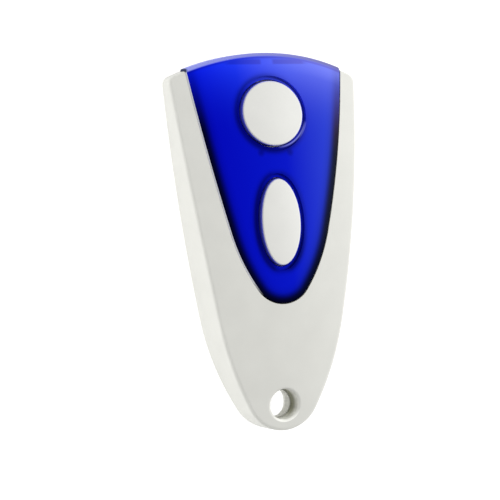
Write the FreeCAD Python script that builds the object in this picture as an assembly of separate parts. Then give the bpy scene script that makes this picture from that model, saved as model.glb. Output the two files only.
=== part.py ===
import FreeCAD, Part
import math
import os

# Garage door remote: white moulded housing, blue translucent front cover, two press buttons.
# Millimetres. +Z points out of the face, +Y towards the wide end, the flat back lies on Z = 0.

os.makedirs("parts", exist_ok=True)
V = FreeCAD.Vector
UP = V(0, 0, 1)
ACROSS = V(1, 0, 0)

# Driving dimensions: overall form. The length follows from what stands in line between tip and top.
face_height = 10.8
face_crest_from_tip = 22.9
face_radius_along = 198.4
face_radius_across = 70.3
keel_start_from_tip = 22.8
keel_radius = 79.0

# Driving dimensions: plan of the housing
shell_nose_radius = 7.5
shell_nose_turn = 61.5
shell_flank_radius = 57.0
shell_side_radius = 405.0
shell_corner_x = 18.8
shoulder_radius = 1.6
face_edge_radius = 0.7
back_edge_radius = 0.5

# Driving dimensions: plan of the blue cover
lens_below_oval = 7.0
lens_nose_radius = 5.9
lens_nose_turn = 54.7
lens_flank_radius = 32.2
lens_side_radius = 236.0
lens_corner_x = 15.65
lens_top_radius = 44.75
lens_overhang = 0.4

# Driving dimensions: walls and running gaps
side_wall = 1.6
rim_wall = 1.0
face_wall = 1.3
cover_thickness = 1.2
cover_gap = 0.1
seat_gap = 0.05
lens_gap = 0.12

# Driving dimensions: the blue cover
lens_plate = 1.0
lens_skirt_depth = 1.5
lens_skirt_width = 1.5
lens_lip_thickness = 1.2
lens_lip_bottom_z = 1.8
lens_top_edge_radius = 0.8
lens_edge_radius = 0.3
collar_width = 0.9
groove_width = 0.7
groove_depth = 0.5
rib_inner_x = 1.2
rib_outer_x = 8.4
rib_from_apex = 0.95
rib_width = 1.2
post_radius = 0.55
post_x = 2.9
post_below_button = 1.25
post_head_depth = 0.5
floor_thickness = 0.7
floor_margin = 1.2

# Driving dimensions: buttons
round_to_top = 11.25
round_to_oval = 19.96
round_button_radius = 6.0
oval_half_width = 3.9
oval_half_length = 7.95
button_gap = 0.25
button_crown = 0.65
round_crown_radius = 52.0
oval_crown_across = 34.0
oval_crown_along = 60.0
button_edge_radius = 0.35
button_skin = 1.2
button_wall = 1.0
flange_width = 1.0
flange_thickness = 0.7
plunger_radius = 1.3
button_travel = 0.3

# Driving dimensions: circuit board and switches
board_thickness = 0.8
board_lift = 0.5
board_wall_gap = 0.3
board_half_width = 14.0
board_end_gap = 0.4
peg_radius = 0.6
peg_gap = 0.1
support_radius = 1.2
hold_down_radius = 0.9
upper_support_from_top = 7.1
middle_support_from_oval = 0.36
lower_support_from_end = 2.3
support_from_board_edge = 1.3
switch_width = 4.5
switch_height = 1.3
switch_well_radius = 1.4
switch_floor = 0.4
switch_cover_sheet = 0.2
stem_radius = 0.95
stem_gap = 0.1
stem_flange_gap = 0.15
switch_leg_count = 2
dome_gap = 0.2
dome_sheet = 0.1

# Driving dimensions: coin cell and its contacts
cell_radius = 10.0
cell_height = 3.2
cell_sheet = 0.3
cell_gasket_width = 1.1
cell_can_lift = 0.5
cell_gasket_lift = 0.25
cell_separator_sheet = 0.3
cell_to_board_end = 0.9
cell_to_switch = 0.79
contact_sheet = 0.15
contact_margin = 1.1
clip_sheet = 0.25
clip_width = 5.0
clip_foot = 0.8
clip_gap = 0.1

# Driving dimensions: keyring hole and screw
front_bore_radius = 2.8
rear_bore_radius = 2.6
bore_rim_radius = 0.5
front_tube_wall = 1.4
rear_tube_wall = 0.8
rear_tube_to_rim = 0.4
tube_meet_depth = 3.7
rear_bore_length = 2.1
countersink_width = 0.6
screw_to_hole = 6.9
screw_boss_wall = 0.25
screw_radius = 1.0
screw_hole_gap = 0.15
screw_head_radius = 1.9
screw_head_height = 1.0
screw_head_gap = 0.15
screw_length = 5.0
screw_seat = 1.0
screw_slot_width = 0.5
screw_slot_depth = 0.6
screw_end_gap = 0.4

# Driving dimensions: the cover's snap tongues
tongue_inner_x = 6.0
tongue_outer_x = 10.0
tongue_low_z = 0.5
tongue_high_z = 1.1
tongue_reach = 0.5
tongue_gap = 0.1

# Driving dimensions: small parts on the board
antenna_inset = 2.8
antenna_width = 1.0
antenna_sheet = 0.05
antenna_length = 22.0
led_size = (1.6, 0.8, 0.6)
led_window_margin = 0.3
encoder_size = (3.9, 4.9, 1.4)
encoder_pin_pitch = 1.27
encoder_pin_count = 4
saw_size = (5.0, 5.0, 1.1)
saw_lid_sheet = 0.25
saw_lid_inset = 0.3
transistor_size = (1.3, 2.9, 1.0)
pin_width = 0.4
pin_sheet = 0.15
pin_reach = 1.0
chip_size = (1.6, 0.8, 0.5)
chip_end = 0.3

# Places on the board, as distances to the right of the middle and down from the round button's centre
encoder_at = (-8.2, 9.6)
saw_at = (8.2, 10.0)
transistor_at = (10.2, 3.0)
capacitors_at = ((11.3, 15.6), (8.0, 15.6), (-11.0, 4.4), (-9.0, 18.4))
resistors_at = ((-6.6, 15.0), (-10.4, 15.0), (-11.4, 1.0))
inductors_at = ((11.8, -0.6), (6.4, 5.0))

# Radii that follow from what they hold
rear_tube_radius = rear_bore_radius + rear_tube_wall
front_tube_radius = front_bore_radius + front_tube_wall
countersink_radius = rear_bore_radius + countersink_width
screw_boss_radius = screw_head_radius + screw_head_gap + screw_boss_wall
cell_cap_radius = cell_radius - cell_sheet - cell_gasket_width
contact_radius = cell_cap_radius - contact_margin
lens_lip_radius = lens_top_radius - lens_lip_thickness
stem_flange_radius = switch_well_radius - stem_flange_gap
dome_radius = switch_well_radius - dome_gap

# The line from the tip to the top: keyring hole, screw, board's end, cell, oval button, round button
hole_from_tip = rim_wall + cover_gap + rear_tube_to_rim + rear_tube_radius
screw_from_tip = hole_from_tip + screw_to_hole
board_end_from_tip = screw_from_tip + screw_boss_radius + board_end_gap
cell_from_tip = board_end_from_tip + cell_to_board_end + cell_radius
oval_from_tip = cell_from_tip + cell_radius + cell_to_switch + switch_width / 2
round_from_tip = oval_from_tip + round_to_oval
body_length = round_from_tip + round_to_top
lens_nose_from_tip = oval_from_tip - oval_half_length - lens_below_oval

# Places along the remote, from the middle of its length
tip_y = -body_length / 2
top_y = body_length / 2
face_crest_y = tip_y + face_crest_from_tip
keel_start_y = tip_y + keel_start_from_tip
hole_y = tip_y + hole_from_tip
screw_y = tip_y + screw_from_tip
board_end_y = tip_y + board_end_from_tip
cell_y = tip_y + cell_from_tip
oval_y = tip_y + oval_from_tip
round_y = tip_y + round_from_tip
post_y = round_y - round_button_radius - post_below_button
top_centre_y = top_y - lens_top_radius

# Depths below the face and heights above the back
floor_top_depth = lens_skirt_depth + seat_gap
floor_low_depth = floor_top_depth + floor_thickness
flange_top_depth = floor_low_depth + seat_gap
flange_low_depth = flange_top_depth + flange_thickness
board_inset = side_wall + board_wall_gap
board_z = cover_thickness + board_lift
board_top_z = board_z + board_thickness
switch_top_z = board_top_z + switch_height
stem_top_z = switch_top_z + switch_cover_sheet + button_travel
dome_z = board_top_z + switch_floor
stem_z = dome_z + dome_sheet + button_travel
stem_flange_top_z = switch_top_z - stem_gap
cell_z = board_top_z + contact_sheet
cell_top_z = cell_z + cell_height
cathode_z = cell_z + cell_height / 2 + cell_separator_sheet

# Working forms reach past the housing by these, and are cut back to it
sky_over_face = 20.0
sky = face_height + sky_over_face
cellar = -2.0
overrun = 4.0
form_half_width = 30.0
form_half_length = 60.0
form_depth = 21.6
steepest_lean = 64.0
touching = 0.01


def meeting(centre_a, radius_a, centre_b, radius_b):
    """The two points where two circles in one plane meet."""
    apart = centre_b - centre_a
    distance = apart.Length
    along = (distance ** 2 + radius_a ** 2 - radius_b ** 2) / (2 * distance)
    aside = math.sqrt(radius_a ** 2 - along ** 2)
    unit = apart / distance
    foot = centre_a + unit * along
    square = V(-unit.y, unit.x, 0) * aside
    return foot + square, foot - square


class ShieldPlan:
    """A shield outline: a nose arc, then a flank, a side and a corner arc up each side, and a top arc."""

    def __init__(self, nose_tip_y, nose_radius, nose_turn, flank_radius, side_radius, corner_x,
                 corner_radius, top_radius):
        turn = math.radians(nose_turn)
        self.radii = (nose_radius, flank_radius, side_radius, top_radius)
        self.nose = V(0, nose_tip_y + nose_radius, 0)
        self.nose_end = V(math.sin(turn), -math.cos(turn), 0)
        self.flank = self.nose - self.nose_end * (flank_radius - nose_radius)
        self.top = V(0, top_centre_y, 0)
        corner = V(corner_x, top_centre_y + math.sqrt(top_radius ** 2 - corner_x ** 2), 0)
        centres = meeting(self.flank, side_radius - flank_radius, corner, side_radius)
        self.side = min(centres, key=lambda point: point.x)
        self.flank_end = (self.flank - self.side).normalize()
        self.corner_radius = corner_radius
        self.corner = self.crossing(corner_radius)

    def crossing(self, inset):
        """Where the side arc and the top arc cross, both moved inwards by inset."""
        crossings = meeting(self.side, self.radii[2] - inset, self.top, self.radii[3] - inset)
        return max(crossings, key=lambda point: point.y)

    def joints(self, inset):
        """The right-hand joints of the outline, moved inwards by inset, from the nose up to the top arc."""
        nose_joint = self.nose + self.nose_end * (self.radii[0] - inset)
        flank_joint = self.flank + self.flank_end * (self.radii[1] - inset)
        if inset >= self.corner_radius:
            return [nose_joint, flank_joint, self.crossing(inset)]
        side_joint = self.side + (self.corner - self.side).normalize() * (self.radii[2] - inset)
        top_joint = self.top + (self.corner - self.top).normalize() * (self.radii[3] - inset)
        return [nose_joint, flank_joint, side_joint, top_joint]

    def half_width(self, y, inset):
        """Half the outline's width at a height y, moved inwards by inset."""
        nose_joint, flank_joint = self.joints(inset)[:2]
        centre, radius = self.side, self.radii[2]
        if y < nose_joint.y:
            centre, radius = self.nose, self.radii[0]
        elif y < flank_joint.y:
            centre, radius = self.flank, self.radii[1]
        return centre.x + math.sqrt((radius - inset) ** 2 - (y - centre.y) ** 2)

    def face(self, inset=0.0):
        """The flat face inside the outline, moved inwards by inset."""
        joints = self.joints(inset)
        centres = (self.flank, self.side, self.corner)
        tip = self.nose - V(0, self.radii[0] - inset, 0)
        apex = self.top + V(0, self.radii[3] - inset, 0)
        runs = list(zip(centres, joints, joints[1:]))
        right = [arc(centre, start, end) for centre, start, end in runs]
        left = [arc(mirrored(centre), mirrored(end), mirrored(start)) for centre, start, end in reversed(runs)]
        nose = Part.Arc(mirrored(joints[0]), tip, joints[0]).toShape()
        top = Part.Arc(joints[-1], apex, mirrored(joints[-1])).toShape()
        return Part.Face(Part.Wire([nose] + right + [top] + left))

    def passes(self, point):
        """Whether the outline passes over a point of the plan."""
        spot = Part.Vertex(V(point.x, point.y, 0))
        return spot.distToShape(self.face().OuterWire)[0] < touching

    def prism(self, inset=0.0, low=cellar, high=sky):
        """The outline raised into a solid between two heights."""
        face = self.face(inset)
        face.translate(V(0, 0, low))
        return face.extrude(V(0, 0, high - low))


def mirrored(point):
    """The same point on the left-hand side."""
    return V(-point.x, point.y, point.z)


def arc(centre, start, end):
    """The shorter arc about centre from start to end."""
    radius = (start - centre).Length
    middle = ((start - centre) + (end - centre)).normalize() * radius
    return Part.Arc(start, centre + middle, end).toShape()


def crowned_space(across, along, crest, lean=0.0):
    """The space under a doubly curved surface through crest, leaning towards +Y by lean degrees."""
    steepest = math.sin(math.radians(steepest_lean))
    half = min(form_half_width, steepest * across)
    edge_z = crest.z - across + math.sqrt(across ** 2 - half ** 2)
    depth = min(form_depth, steepest * along)
    left = V(-half, crest.y, edge_z)
    right = V(half, crest.y, edge_z)
    left_low = V(-half, crest.y, crest.z - depth)
    right_low = V(half, crest.y, crest.z - depth)
    edges = [Part.Arc(left, crest, right).toShape(), Part.makeLine(right, right_low),
             Part.makeLine(right_low, left_low), Part.makeLine(left_low, left)]
    profile = Part.Face(Part.Wire(edges))
    hub = crest - V(0, 0, along)
    swing = math.degrees(math.asin(min(steepest, form_half_length / (along - depth))))
    profile.rotate(hub, ACROSS, -swing)
    solid = profile.revolve(hub, ACROSS, 2 * swing)
    solid.rotate(crest, ACROSS, -lean)
    return solid


def under_face(depth):
    """The space under the crowned face, sunk by depth."""
    crest = V(0, face_crest_y, face_height - depth)
    return crowned_space(face_radius_across - depth, face_radius_along - depth, crest)


def face_z(x, y, depth=0.0):
    """The height of the crowned face, sunk by depth, over a point of the plan."""
    ring = face_radius_along - face_radius_across
    spoke = ring + math.sqrt((face_radius_across - depth) ** 2 - x ** 2)
    return face_height - face_radius_along + math.sqrt(spoke ** 2 - (y - face_crest_y) ** 2)


def face_lean(y):
    """How far the face leans towards +Y at a place on its middle line, in degrees."""
    return math.degrees(math.asin((y - face_crest_y) / face_radius_along))


def over_back(height):
    """The space above the back, raised by height: flat, then curving up to the tip."""
    radius = keel_radius - height
    angle = math.asin((keel_start_y - tip_y + overrun) / radius)
    hub = V(0, keel_start_y, keel_radius)
    start = V(0, keel_start_y, height)
    middle = hub + V(0, -math.sin(angle / 2), -math.cos(angle / 2)) * radius
    end = hub + V(0, -math.sin(angle), -math.cos(angle)) * radius
    flat_end = V(0, top_y + overrun, height)
    corners = [end, V(0, end.y, sky), V(0, flat_end.y, sky), flat_end, start]
    lines = [Part.makeLine(low, high) for low, high in zip(corners, corners[1:])]
    profile = Part.Face(Part.Wire([Part.Arc(start, middle, end).toShape()] + lines))
    profile.translate(V(-form_half_width, 0, 0))
    return profile.extrude(V(2 * form_half_width, 0, 0))


def back_z(y, height=0.0):
    """The height of the back, raised by height, at a place on its middle line."""
    if y >= keel_start_y:
        return height
    return keel_radius - math.sqrt((keel_radius - height) ** 2 - (keel_start_y - y) ** 2)


def box(x, y, low, size):
    """A block centred on a point of the plan, standing on a height."""
    return Part.makeBox(size[0], size[1], size[2], V(x - size[0] / 2, y - size[1] / 2, low))


def rod(x, y, radius, low, high):
    """An upright round bar between two heights."""
    return Part.makeCylinder(radius, high - low, V(x, y, low), UP)


def round_prism(grow, low=cellar, high=sky):
    """The round button's outline grown by a width, as an upright bar."""
    return rod(0, round_y, round_button_radius + grow, low, high)


def oval_prism(grow, low=cellar, high=sky):
    """The oval button's outline grown by a width, as an upright bar."""
    centre = V(0, oval_y, low)
    end = centre + V(0, oval_half_length + grow, 0)
    side = centre + V(oval_half_width + grow, 0, 0)
    ellipse = Part.Ellipse(end, side, centre)
    return Part.Face(Part.Wire([ellipse.toShape()])).extrude(V(0, 0, high - low))


def edges_where(shape, test):
    """The edges of a shape whose points all pass a test."""
    return [edge for edge in shape.Edges if all(test(point) for point in edge.discretize(5))]


def write(name, shape):
    """Writes one piece, which is one closed solid or a group of them."""
    solids = shape.Solids
    body = solids[0] if len(solids) == 1 else Part.makeCompound(solids)
    body.exportStep("parts/" + name + ".step")
    volume = sum(solid.Volume for solid in solids)
    print(name, len(solids), "solids", round(volume, 2), "mm3", "valid" if body.isValid() else "NOT VALID")


shell_plan = ShieldPlan(tip_y, shell_nose_radius, shell_nose_turn, shell_flank_radius, shell_side_radius,
                        shell_corner_x, shoulder_radius, lens_top_radius - lens_overhang)
lens_plan = ShieldPlan(tip_y + lens_nose_from_tip, lens_nose_radius, lens_nose_turn, lens_flank_radius,
                       lens_side_radius, lens_corner_x, 0.0, lens_top_radius)


def support_places():
    """The six places where the board is held between the cover and the front shell."""
    rows = (top_y - upper_support_from_top, oval_y + middle_support_from_oval,
            board_end_y + lower_support_from_end)
    places = []
    for y in rows:
        edge = min(board_half_width, shell_plan.half_width(y, board_inset))
        for side in (-1, 1):
            places.append((side * (edge - support_from_board_edge), y))
    return places


# Front shell: the white moulding with the face, the side walls and the floor under the blue cover
def outer_form():
    """The housing's outside, with its face edge and its back edge rounded."""
    form = shell_plan.prism().common(under_face(0.0)).common(over_back(0.0))
    form = form.makeFillet(face_edge_radius, edges_where(form, on_face))
    rim = edges_where(form, is_back_rim)
    return form.makeFillet(back_edge_radius, rim)


def on_face(point):
    """Whether a point lies on the crowned face."""
    return abs(point.z - face_z(point.x, point.y)) < touching


def is_back_rim(point):
    """Whether a point lies on the rim of the back."""
    return abs(point.z - back_z(point.y)) < touching and shell_plan.passes(point)


def lip_band(grow, inner_radius, low):
    """The space of the blue cover's top lip, down to a height."""
    inner = rod(0, top_centre_y, inner_radius, cellar, sky)
    return lens_plan.prism(-grow, low, sky).cut(inner)


def make_front_shell():
    shell = outer_form()
    under_lens = lens_plan.prism(-floor_margin).cut(under_face(floor_low_depth))
    hollow = shell_plan.prism(side_wall).common(under_face(face_wall)).cut(under_lens)
    cover_room = shell_plan.prism(rim_wall).cut(over_back(cover_thickness + seat_gap))
    shell = shell.cut(hollow).cut(cover_room)
    shell = shell.fuse(inner_bars())
    recess = lens_plan.prism(-lens_gap).cut(under_face(floor_top_depth))
    lip_recess = lip_band(lens_gap, lens_lip_radius - lens_gap, lens_lip_bottom_z - seat_gap)
    shell = shell.cut(recess).cut(lip_recess)
    shell = shell.cut(round_prism(button_gap)).cut(oval_prism(button_gap))
    for side in (-1, 1):
        shell = shell.cut(rod(side * post_x, post_y, post_radius + seat_gap, board_top_z, sky))
        shell = shell.cut(tongue(side, tongue_gap))
    window = (led_size[0] + 2 * led_window_margin, led_size[1] + 2 * led_window_margin, sky)
    shell = shell.cut(box(0, led_y(), board_top_z, window))
    shell = shell.cut(rod(0, hole_y, rear_tube_radius + cover_gap, cellar, tube_meet_z()))
    shell = shell.cut(rod(0, hole_y, front_bore_radius, cellar, sky))
    pilot_top = screw_meet_z() - screw_seat + screw_length + screw_end_gap
    shell = shell.cut(rod(0, screw_y, screw_radius, cellar, pilot_top))
    return shell.makeFillet(bore_rim_radius, edges_where(shell, is_bore_rim))


def inner_bars():
    """The front shell's round bars: the keyring tube, the screw post and the bars that hold the board down."""
    bars = [rod(0, hole_y, front_tube_radius, tube_meet_z(), sky),
            rod(0, screw_y, screw_boss_radius, screw_meet_z() + seat_gap, sky)]
    bars += [rod(x, y, hold_down_radius, board_top_z + seat_gap, sky) for x, y in support_places()]
    inside = shell_plan.prism(rim_wall).common(under_face(face_wall / 2))
    return [bar.common(inside) for bar in bars]


def is_bore_rim(point):
    """Whether a point lies on the keyring bore's rim at the face."""
    return on_face(point) and abs(math.hypot(point.x, point.y - hole_y) - front_bore_radius) < touching


def tube_meet_z():
    """The height where the two halves of the keyring tube meet."""
    return face_z(0, hole_y, tube_meet_depth)


def screw_meet_z():
    """The height where the rear cover's screw seat meets the front shell's screw post."""
    return back_z(screw_y) + screw_head_height + screw_head_gap + screw_seat


def led_y():
    """Where the lamp stands: midway between the round button's flange and the board's top edge."""
    board_edge_y = top_y - lens_overhang - board_inset
    return (round_y + round_button_radius + flange_width + board_edge_y) / 2


# Rear cover: the white plate that closes the back, inside the front shell's rim
def tongue(side, grow):
    """One of the two tongues at the cover's wide end, which hook under the front shell's rim."""
    low = tongue_low_z - grow
    high = tongue_high_z + grow
    width = tongue_outer_x - tongue_inner_x + 2 * grow
    block = box(side * (tongue_inner_x + tongue_outer_x) / 2, top_y, low, (width, 2 * overrun, high - low))
    return block.common(shell_plan.prism(rim_wall - tongue_reach - grow, low, high))


def cover_bar(x, y, radius, high):
    """A round bar that stands on the rear cover, rooted halfway into its plate."""
    return rod(x, y, radius, cellar, high).common(over_back(cover_thickness / 2))


def make_rear_cover():
    plate = shell_plan.prism(rim_wall + cover_gap).common(over_back(0.0)).cut(over_back(cover_thickness))
    tube_top = tube_meet_z() - seat_gap
    tube = cover_bar(0, hole_y, rear_tube_radius, tube_top)
    seat = cover_bar(0, screw_y, screw_boss_radius, screw_meet_z())
    supports = [cover_bar(x, y, support_radius, board_z) for x, y in support_places()]
    tongues = [tongue(side, 0.0) for side in (-1, 1)]
    pegs = [rod(x, y, peg_radius, board_z, board_top_z) for x, y in peg_places()]
    cover = plate.fuse([tube, seat] + supports + tongues + pegs)
    bore_low = tube_top - rear_bore_length
    flare_low = back_z(hole_y + rear_tube_radius) - cover_thickness
    flare_slope = (countersink_radius - rear_bore_radius) / (bore_low - back_z(hole_y))
    flare_radius = rear_bore_radius + flare_slope * (bore_low - flare_low)
    flare = Part.makeCone(flare_radius, rear_bore_radius, bore_low - flare_low, V(0, hole_y, flare_low), UP)
    cover = cover.cut(rod(0, hole_y, rear_bore_radius, cellar, sky)).cut(flare)
    head_room = rod(0, screw_y, screw_head_radius + screw_head_gap, cellar, screw_meet_z() - screw_seat)
    shank_room = rod(0, screw_y, screw_radius + screw_hole_gap, cellar, sky)
    return cover.cut(head_room).cut(shank_room)


def peg_places():
    """The two supports that carry a locating peg, one each side."""
    places = support_places()
    return [places[2], places[3]]


# Blue cover: one translucent moulding with a deep rim, collars round the buttons and a lip over the top end
def make_lens_cover():
    top = under_face(0.0)
    outline = lens_plan.prism().common(top)
    below = under_face(lens_skirt_depth)
    body = outline.cut(under_face(lens_plate))
    rim = outline.cut(lens_plan.prism(lens_skirt_width)).cut(below)
    collars = round_prism(button_gap + collar_width).fuse(oval_prism(button_gap + collar_width))
    collars = collars.common(top).cut(below)
    ribs = [lens_rib(side).common(top).cut(below) for side in (-1, 1)]
    lip = lip_band(0.0, lens_lip_radius, lens_lip_bottom_z).common(top)
    posts = [lens_post(side) for side in (-1, 1)]
    lens = body.fuse([rim, collars, lip] + ribs + posts)
    lens = lens.cut(round_prism(button_gap)).cut(oval_prism(button_gap)).removeSplitter()
    lens = round_lens_edges(lens)
    grooves = round_prism(button_gap + groove_width).fuse(oval_prism(button_gap + groove_width))
    return lens.cut(grooves.cut(under_face(groove_depth)))


def lens_rib(side):
    """A rib across the underside near the top edge, one each side of the lamp."""
    length = rib_outer_x - rib_inner_x
    middle_y = top_y - rib_from_apex - rib_width / 2
    rib = box(side * (rib_inner_x + rib_outer_x) / 2, middle_y, 0, (length, rib_width, sky))
    return rib.common(lens_plan.prism())


def lens_post(side):
    """A post that goes through the front shell's floor and is staked over."""
    x = side * post_x
    low = face_z(x, post_y, floor_low_depth + post_head_depth)
    return rod(x, post_y, post_radius, low, face_z(x, post_y, lens_plate / 2))


def round_lens_edges(lens):
    """Rounds the blue cover's edge over the top end, then its long edges against the housing."""
    outline = edges_where(lens, is_lens_edge)
    lens = lens.makeFillet(lens_top_edge_radius, [edge for edge in outline if all_over_end(edge)])
    return lens.makeFillet(lens_edge_radius, edges_where(lens, is_lens_edge))


def is_lens_edge(point):
    """Whether a point lies on the blue cover's outline at the face."""
    return on_face(point) and lens_plan.passes(point)


def all_over_end(edge):
    """Whether an edge of the blue cover's outline runs along its top arc."""
    middle = edge.valueAt((edge.FirstParameter + edge.LastParameter) / 2)
    return abs(math.hypot(middle.x, middle.y - top_centre_y) - lens_top_radius) < touching


# Buttons: white hollow caps with a flange below the floor and a plunger on the switch
def make_button(prism, y, across, along):
    """A button made from its outline; across and along are its crown's radii."""
    crest = V(0, y, face_z(0, y) + button_crown)
    cap = prism(0.0).common(crowned_space(across, along, crest, face_lean(y)))
    cap = cap.cut(under_face(flange_low_depth))
    rim = edges_where(cap, lambda point: point.z > face_z(point.x, point.y))
    cap = cap.makeFillet(button_edge_radius, rim)
    flange = prism(flange_width).common(under_face(flange_top_depth)).cut(under_face(flange_low_depth))
    inner_crest = crest - V(0, 0, button_skin)
    room = crowned_space(across - button_skin, along - button_skin, inner_crest, face_lean(y))
    hollow = prism(-button_wall).common(room)
    plunger = rod(0, y, plunger_radius, stem_top_z, inner_crest.z + button_skin / 2)
    return cap.fuse(flange).cut(hollow).fuse(plunger)


# Circuit board and its printed loop
def make_circuit_board():
    """The board: the housing's inside, cut to width, from the screw post to the top end."""
    length = top_y - board_end_y
    size = (2 * board_half_width, length, board_thickness)
    board = shell_plan.prism(board_inset).common(box(0, board_end_y + length / 2, board_z, size))
    for x, y in peg_places():
        board = board.cut(rod(x, y, peg_radius + peg_gap, cellar, sky))
    return board


def make_loop_antenna():
    """The printed track under the board: a loop open at its lower end."""
    rings = []
    for inset in (antenna_inset, antenna_inset + antenna_width):
        size = (2 * (board_half_width - inset), antenna_length, antenna_sheet)
        limits = box(0, top_y - antenna_length / 2, board_z - antenna_sheet, size)
        rings.append(shell_plan.prism(board_inset + inset).common(limits))
    return rings[0].cut(rings[1])


# Press switches: base, metal cover, stem and snap dome, with soldered legs
def make_switch_base(y):
    base = box(0, y, board_top_z, (switch_width, switch_width, switch_height))
    return base.cut(rod(0, y, switch_well_radius, dome_z, sky))


def make_switch_cover(y):
    sheet = box(0, y, switch_top_z, (switch_width, switch_width, switch_cover_sheet))
    return sheet.cut(rod(0, y, stem_radius + stem_gap, cellar, sky))


def make_switch_stem(y):
    flange = rod(0, y, stem_flange_radius, stem_z, stem_flange_top_z)
    return flange.fuse(rod(0, y, stem_radius, stem_z, stem_top_z))


def make_switch_dome(y):
    """A thin domed disc, spherical above and below, which rises by the button's travel."""
    radius = (dome_radius ** 2 + button_travel ** 2) / (2 * button_travel)
    centre = V(0, y, dome_z + button_travel - radius)
    sheet = Part.makeSphere(radius + dome_sheet, centre).cut(Part.makeSphere(radius, centre))
    return sheet.common(rod(0, y, dome_radius, dome_z, sky))


def legs(x, y, body_size, pitch, count):
    """Soldered legs along both long sides of a small part: a foot and a riser each."""
    made = []
    for side in (-1, 1):
        for number in range(count):
            leg_y = y + (number - (count - 1) / 2) * pitch
            foot_x = x + side * (body_size[0] + pin_reach) / 2
            riser_x = x + side * (body_size[0] + pin_sheet) / 2
            foot = box(foot_x, leg_y, board_top_z, (pin_reach, pin_width, pin_sheet))
            riser = box(riser_x, leg_y, board_top_z, (pin_sheet, pin_width, body_size[2] / 2))
            made.append(foot.fuse(riser).removeSplitter())
    return made


def make_switch_terminals():
    """Two legs on each side of both switches, a leg's width in from the corners."""
    size = (switch_width, switch_width, switch_height)
    pitch = switch_width - 3 * pin_width
    legs_of = [legs(0, y, size, pitch, switch_leg_count) for y in (round_y, oval_y)]
    return Part.makeCompound(legs_of[0] + legs_of[1])


# Small parts on the board
def on_board(place, size, lift=0.0):
    """A block on the board, at a place given from the round button's centre."""
    return box(place[0], round_y - place[1], board_top_z + lift, size)


def make_encoder_pins():
    pins = legs(encoder_at[0], round_y - encoder_at[1], encoder_size, encoder_pin_pitch, encoder_pin_count)
    return Part.makeCompound(pins)


def make_saw_lid():
    size = (saw_size[0] - 2 * saw_lid_inset, saw_size[1] - 2 * saw_lid_inset, saw_lid_sheet)
    return on_board(saw_at, size, saw_size[2])


def make_transistor_pins():
    """Two pins on the left side and one on the right."""
    x = transistor_at[0]
    y = round_y - transistor_at[1]
    four = legs(x, y, transistor_size, transistor_size[1] - 2 * pin_width, 2)
    two = legs(x, y, transistor_size, 0.0, 1)
    return Part.makeCompound([leg for leg in four if leg.BoundBox.XMax < x] + two[1:])


def chip_bodies(places):
    """The middles of a group of chip parts, between their metal ends."""
    size = (chip_size[0] - 2 * chip_end, chip_size[1], chip_size[2])
    return Part.makeCompound([on_board(place, size) for place in places])


def make_chip_ends():
    size = (chip_end, chip_size[1], chip_size[2])
    reach = (chip_size[0] - chip_end) / 2
    ends = []
    for x, down in capacitors_at + resistors_at + inductors_at:
        ends += [on_board((x - reach, down), size), on_board((x + reach, down), size)]
    return Part.makeCompound(ends)


# Coin cell and its contacts
def make_cell_can():
    """The positive can: a cup open towards the board."""
    low = cell_z + cell_can_lift
    can = rod(0, cell_y, cell_radius, low, cell_top_z)
    return can.cut(rod(0, cell_y, cell_radius - cell_sheet, low, cell_top_z - cell_sheet))


def make_cell_cap():
    """The negative cap: a shallow cup that faces the can."""
    high = cathode_z - cell_separator_sheet
    cap = rod(0, cell_y, cell_cap_radius, cell_z, high)
    return cap.cut(rod(0, cell_y, cell_cap_radius - cell_sheet, cell_z + cell_sheet, high))


def make_cell_gasket():
    """The insulating ring between can and cap."""
    low = cell_z + cell_gasket_lift
    ring = rod(0, cell_y, cell_radius - cell_sheet, low, cathode_z)
    return ring.cut(rod(0, cell_y, cell_cap_radius, low, cathode_z))


def make_cell_anode():
    return rod(0, cell_y, cell_cap_radius - cell_sheet, cell_z + cell_sheet, cathode_z - cell_separator_sheet)


def make_cell_separator():
    return rod(0, cell_y, cell_cap_radius, cathode_z - cell_separator_sheet, cathode_z)


def make_cell_cathode():
    return rod(0, cell_y, cell_radius - cell_sheet, cathode_z, cell_top_z - cell_sheet)


def make_battery_contact():
    return rod(0, cell_y, contact_radius, board_top_z, cell_z)


def make_battery_clip():
    """The spring strap over the cell, with a foot soldered to the board at each side."""
    outer = cell_radius + clip_gap + clip_sheet
    pieces = []
    for side in (-1, 1):
        leg_x = side * (outer - clip_sheet / 2)
        foot_x = side * (outer - clip_sheet / 2 + clip_foot / 2)
        pieces.append(box(leg_x, cell_y, board_top_z, (clip_sheet, clip_width, cell_top_z - board_top_z)))
        pieces.append(box(foot_x, cell_y, board_top_z, (clip_foot, clip_width, clip_sheet)))
    strap = box(0, cell_y, cell_top_z, (2 * outer, clip_width, clip_sheet))
    return strap.fuse(pieces).removeSplitter()


# Housing screw
def make_housing_screw():
    """A pan head screw, driven from the back into the front shell's post."""
    seat_z = screw_meet_z() - screw_seat
    head = rod(0, screw_y, screw_head_radius, seat_z - screw_head_height, seat_z)
    screw = head.fuse(rod(0, screw_y, screw_radius, seat_z, seat_z + screw_length))
    for size in ((2 * screw_radius, screw_slot_width), (screw_slot_width, 2 * screw_radius)):
        slot = box(0, screw_y, seat_z - screw_head_height, (size[0], size[1], screw_slot_depth))
        screw = screw.cut(slot)
    return screw


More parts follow.
